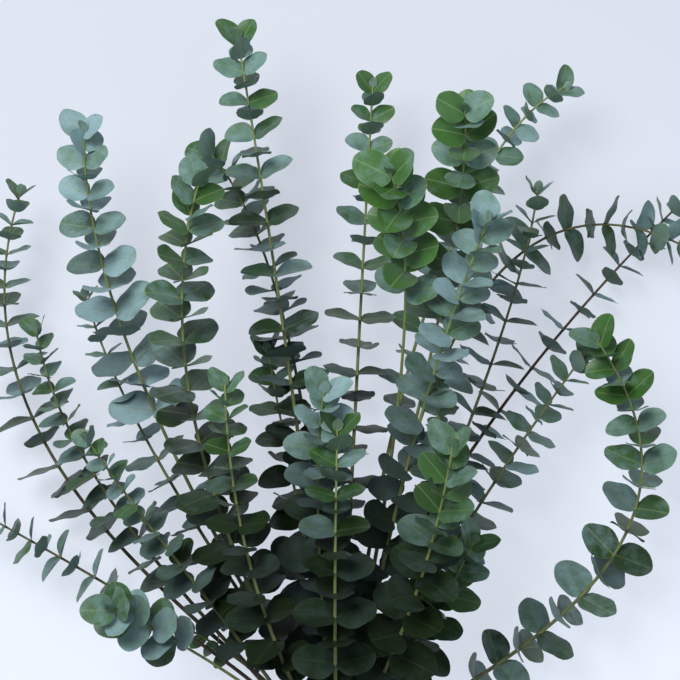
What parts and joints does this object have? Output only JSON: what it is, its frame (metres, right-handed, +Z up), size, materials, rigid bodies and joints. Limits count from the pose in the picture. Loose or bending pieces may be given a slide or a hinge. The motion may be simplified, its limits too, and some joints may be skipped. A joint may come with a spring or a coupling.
{
  "type": "tied eucalyptus branches",
  "caption": "Loose bunch of cut eucalyptus branches with round blue-green leaves in opposite pairs, held by a twine tie and lying on its side.",
  "frame": {"origin": "middle of the bunch's footprint, on the surface that it lies on", "axes": "+Z up, +Y along the stems from the cut ends to the tips, +X to the right seen from above with the tips away"},
  "size_m": [0.6076, 0.711, 0.249],
  "materials": {
    "foliage_green": "satin",
    "foliage_blue": "matte",
    "foliage_sage": "matte",
    "stem": "satin",
    "twine": "matte"
  },
  "bodies": {
    "root": {"branch_01": "foliage_green", "branch_02": "foliage_blue", "branch_03": "foliage_green", "branch_04": "foliage_sage", "branch_05": "foliage_sage", "branch_06": "foliage_green", "branch_07": "foliage_sage", "branch_08": "foliage_sage", "branch_09": "foliage_sage", "branch_10": "foliage_blue", "branch_11": "foliage_green", "branch_12": "foliage_green", "branch_13": "foliage_green", "branch_14": "foliage_green", "branch_15": "foliage_blue", "branch_16": "foliage_green", "branch_17": "foliage_sage", "branch_18": "foliage_sage", "branch_19": "foliage_sage", "branch_20": "foliage_green", "branch_21": "foliage_sage", "branch_22": "foliage_blue", "branch_23": "foliage_sage", "branch_24": "foliage_green", "branch_25": "foliage_blue", "branch_26": "foliage_green", "branch_27": "foliage_green", "branch_28": "foliage_green", "twine_tie": "twine"}
  },
  "joints": []
}
